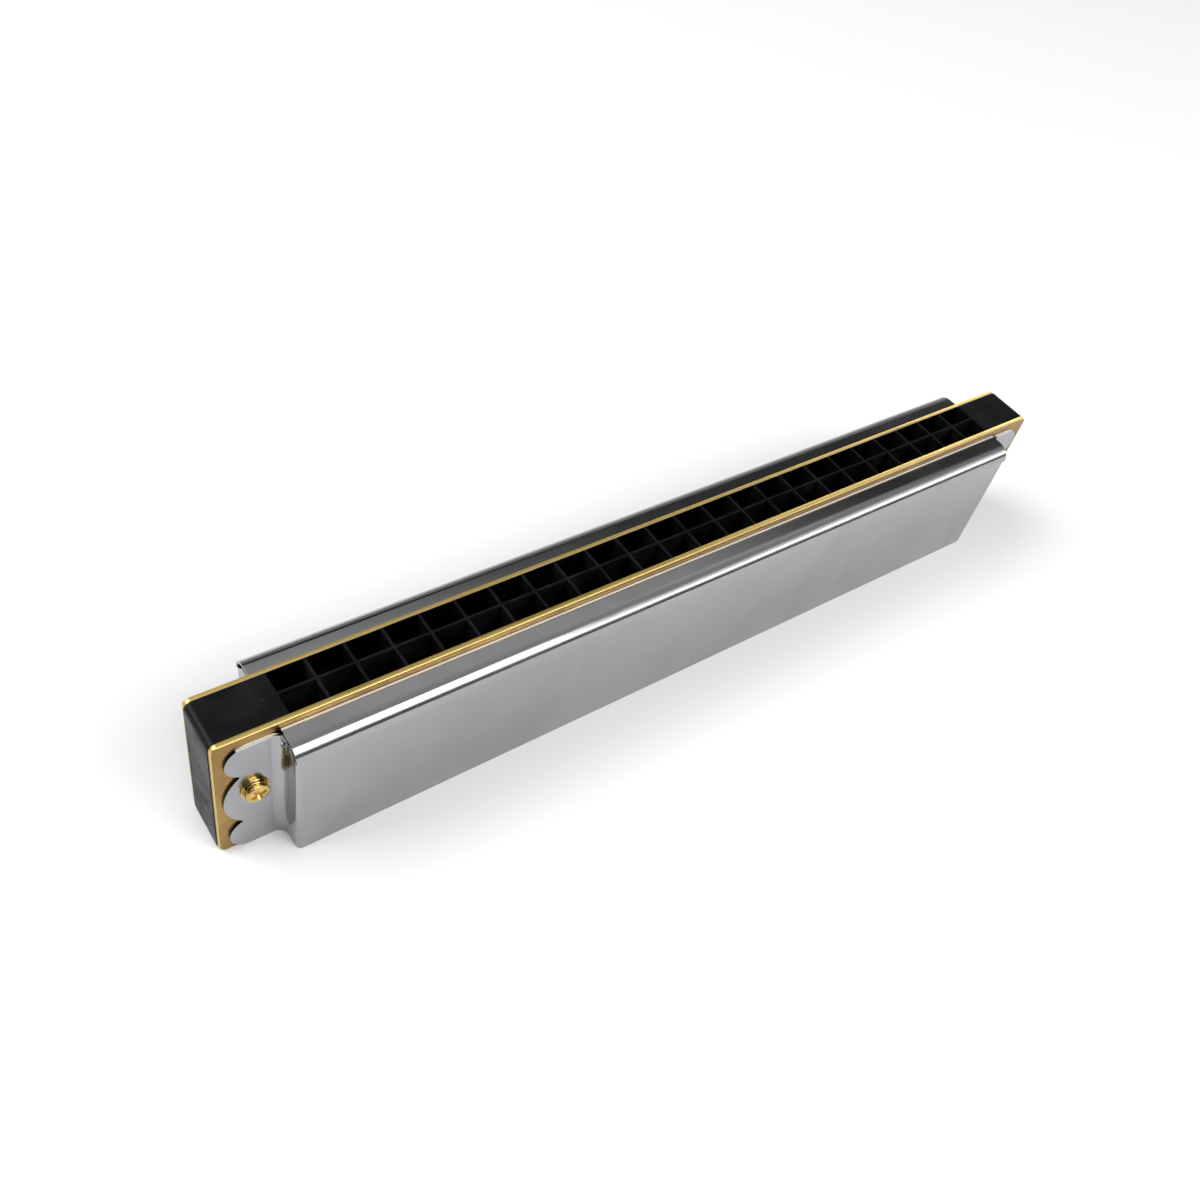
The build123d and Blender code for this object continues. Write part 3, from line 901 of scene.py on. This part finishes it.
flatTop = flatHigh.y - washer["thick"]
scatter("coverScrewSet", axisSpots(upperY=screwLow.y + screw["rise"]), makeScrewTemplate(screw), screwGold,
        "screw", "cover_screws", turn=0.5, turnSpread=0.35, seed=8)
scatter("flatWasherSet", axisSpots(-flatTop, flatTop), makeWasherTemplate(washer), screwGold,
        "screw", "flat_washers")
scatter("lockWasherSet", axisSpots(-flatHigh.y, flatHigh.y), makeLockWasherTemplate(lockWasher), screwGold,
        "screw", "lock_washers", turnSpread=2.0, seed=4)
scatter("coverNutSet", axisSpots(lowerY=nutLow.y), makeNutTemplate(nut), screwGold,
        "screw", "cover_nuts", turnSpread=0.5, seed=9)
print("screws, washers and nuts made")


reedShape = {"belly": 0.72, "bassTip": 0.95, "trebleTip": 0.60, "curl": 0.22 * mm, "steps": 14}


def makeReedTree():
    # a tongue along +Z on the plate at Y = 0, thick at the root, filed thinner in the middle,
    # and lifted towards the tip
    tree = newTree(
        "reedTongue", "GeometryNodeTree",
        [("Geometry", "NodeSocketGeometry", None)]
        + [(label, "NodeSocketFloat", 0.0) for label in
           ("Length", "Width", "Thickness", "Belly", "Tip", "Curl")]
        + [("Steps", "NodeSocketInt", 12), ("Root", "NodeSocketVector", None),
           ("Turn", "NodeSocketVector", None), ("Material", "NodeSocketMaterial", None)],
        [("Geometry", "NodeSocketGeometry")],
    )
    add = adder(tree)
    calc = summer(add)
    ins, outs = add("NodeGroupInput").outputs, add("NodeGroupOutput")
    size = add("ShaderNodeCombineXYZ", {"X": ins["Width"], "Y": ins["Thickness"], "Z": ins["Length"]})
    bar = add("GeometryNodeMeshCube", {
        "Size": size.outputs[0], "Vertices X": 2, "Vertices Y": 2, "Vertices Z": ins["Steps"],
    })
    at = add("ShaderNodeSeparateXYZ", {0: add("GeometryNodeInputPosition").outputs[0]})
    along = calc("ADD", at.outputs["Z"], calc("MULTIPLY", ins["Length"], 0.5))
    share = calc("DIVIDE", along, ins["Length"])
    toBelly = add("ShaderNodeMapRange", {
        "Value": share, "From Min": 0.05, "From Max": 0.45, "To Min": 1.0, "To Max": ins["Belly"],
    }, interpolation_type="SMOOTHSTEP")
    change = calc("SUBTRACT", ins["Tip"], ins["Belly"])
    toTip = add("ShaderNodeMapRange", {
        "Value": share, "From Min": 0.55, "From Max": 0.95, "To Min": 0.0, "To Max": change,
    }, interpolation_type="SMOOTHSTEP")
    factor = calc("ADD", toBelly.outputs[0], toTip.outputs[0])
    depth = calc("MULTIPLY", calc("ADD", at.outputs["Y"], calc("MULTIPLY", ins["Thickness"], 0.5)), factor)
    lift = calc("MULTIPLY", calc("MULTIPLY", share, share), ins["Curl"])
    place = add("ShaderNodeCombineXYZ", {"X": at.outputs["X"], "Y": calc("ADD", depth, lift), "Z": along})
    formed = add("GeometryNodeSetPosition", {"Geometry": bar.outputs[0], "Position": place.outputs[0]})
    moved = add("GeometryNodeTransform", {
        "Geometry": formed.outputs[0], "Translation": ins["Root"], "Rotation": ins["Turn"],
    })
    real = add("GeometryNodeRealizeInstances", {"Geometry": moved.outputs[0]})
    done = add("GeometryNodeSetMaterial", {"Geometry": real.outputs[0], "Material": ins["Material"]})
    tree.links.new(done.outputs[0], outs.inputs[0])
    return tree


reedTree = makeReedTree()

# half turns by the way a tongue grows and the way it looks
halfTurns = {
    (1, 1): (0, 0, 0), (1, -1): (0, 0, math.pi), (-1, 1): (0, math.pi, 0), (-1, -1): (math.pi, 0, 0),
}

for (place, number), r in reeds.items():
    node = f"{place}_reed_{number:02d}"
    share = (number - 1) / (combSize["columns"] - 1)
    values = {
        "Length": r["length"], "Width": r["width"], "Thickness": r["thick"], "Belly": reedShape["belly"],
        "Tip": reedShape["bassTip"] + (reedShape["trebleTip"] - reedShape["bassTip"]) * share,
        "Curl": reedShape["curl"], "Steps": reedShape["steps"], "Root": (r["x"], r["face"], r["root"]),
        "Turn": halfTurns[r["grow"], r["look"]], "Material": reedBronze,
    }
    start = addObject(node + "Start", bpy.data.meshes.new(node))
    tongue = applyTree(start, reedTree, f"{place}Tongue{number:02d}", values)
    finish(shadeByArea(tongue, 40), reedBronze, "reed", node, node)
print("reed tongues made")


studio = {
    "floorSide": 6.0, "floorColour": (0.86, 0.86, 0.86, 1), "floorShade": (0.8, 0.8, 0.8, 1), "mottle": 0.05,
    "pale": (0.9, 0.9, 0.9, 1), "streaks": 0.05,
    "back": [(0.0, 0.45), (0.35, 0.40), (0.48, 0.07), (0.66, 0.05), (0.77, 0.68), (1.0, 0.50)],
    "front": [(0.0, 0.16), (0.28, 0.16), (0.62, 0.45), (1.0, 0.45)],
}


def makeFloor(s):
    bm = bmesh.new()
    bmesh.ops.create_grid(bm, x_segments=1, y_segments=1, size=s["floorSide"] / 2)
    floor = addObject("floor", meshFrom(bm, "floor"))
    material, shader, add = newMaterial("floorPaper")
    coords = add("ShaderNodeTexCoord")
    mottle = add("ShaderNodeTexNoise", {"Vector": coords.outputs["Object"], "Scale": 3.0})
    patches = spread(add, mottle.outputs["Fac"], 0.0, s["mottle"])
    colour = mixColours(add, patches, s["floorColour"], s["floorShade"])
    feed(material, shader, Base_Color=colour)
    shader.inputs["Roughness"].default_value = 0.9
    floor.data.materials.append(material)


bendWay = (0.63, 0.24, -0.15)  # the three lamps that the covers' bend mirrors lie this way

lamps = {
    "keyBack": {"place": (-0.75, 0.55, 1.0), "along": (0.6, 0.8, 0.0), "size": (0.9, 0.9), "power": 13.5},
    "bendStrip": {"place": (0.45, -0.63, 0.41), "along": bendWay, "size": (0.85, 0.18), "power": 1.9},
    "bendGlow": {"place": (0.46, -0.60, 0.64), "along": bendWay, "size": (1.0, 0.24), "power": 0.7},
    "bendLine": {"place": (0.47, -0.66, 0.25), "along": bendWay, "size": (0.85, 0.02), "power": 0.12},
    "rimRight": {
        "place": (0.80, 0.42, 0.34), "along": (0.47, -0.88, 0.0), "size": (0.5, 0.2), "power": 1.8,
        "only": "PlateSheet",  # the end of the names of the pieces that it lights
    },
    "overFront": {"place": (0.1, -0.9, 1.2), "along": (1.0, 0.0, 0.0), "size": (1.2, 0.6), "power": 10.0},
}


def makeLamp(name, s):
    data = bpy.data.lights.new(name, "AREA")
    data.shape = "RECTANGLE"
    data.size, data.size_y = s["size"]
    data.energy = s["power"]
    lamp = bpy.data.objects.new(name, data)
    bpy.context.scene.collection.objects.link(lamp)
    away = Vector(s["place"]).normalized()
    along = Vector(s["along"])
    along = (along - away * along.dot(away)).normalized()
    turn = Matrix((along, away.cross(along), away)).transposed()
    lamp.matrix_world = Matrix.Translation(s["place"]) @ turn.to_4x4()
    if "only" in s:
        lit = bpy.data.collections.new(name + "Lit")
        for ob in bpy.context.scene.objects:
            if ob.name.endswith(s["only"]):
                lit.objects.link(ob)
        lamp.light_linking.receiver_collection = lit


def byHeight(add, height, stops):
    # a grey that follows the height of the direction
    node = add("ShaderNodeValToRGB", {"Fac": height})
    while len(node.color_ramp.elements) < len(stops):
        node.color_ramp.elements.new(0.5)
    for element, (at, grey) in zip(node.color_ramp.elements, stops):
        element.position = at
        element.color = (grey, grey, grey * 1.01, 1)
    return node.outputs[0]


def makeWorld(s):
    # what the polished metal mirrors: behind it grey low down, then a dark band, and bright overhead,
    # and in front of it a grey that gets lighter upwards
    world = bpy.data.worlds.new("studio")
    bpy.context.scene.world = world
    world.use_nodes = True
    world.node_tree.nodes.clear()
    add = adder(world.node_tree)
    coords = add("ShaderNodeTexCoord")
    split = add("ShaderNodeSeparateXYZ", {0: coords.outputs["Generated"]})
    wisps = add("ShaderNodeTexNoise", {"Vector": coords.outputs["Generated"], "Scale": 9.0, "Detail": 3.0})
    shift = spread(add, wisps.outputs["Fac"], -s["streaks"], s["streaks"])
    height = summer(add)("ADD", split.outputs["Z"], shift)
    behind = add("ShaderNodeMapRange", {"Value": split.outputs["Y"], "From Min": -0.1, "From Max": 0.1})
    front, back = byHeight(add, height, s["front"]), byHeight(add, height, s["back"])
    around = mixColours(add, behind.outputs[0], front, back)
    rays = add("ShaderNodeLightPath")
    seen = mixColours(add, rays.outputs["Is Camera Ray"], around, s["pale"])
    background = add("ShaderNodeBackground", {"Color": seen})
    add("ShaderNodeOutputWorld", {"Surface": background.outputs[0]})


makeFloor(studio)
for name, settings in lamps.items():
    makeLamp(name, settings)
makeWorld(studio)
bpy.context.scene.view_settings.view_transform = "Standard"
print("floor and lights made")
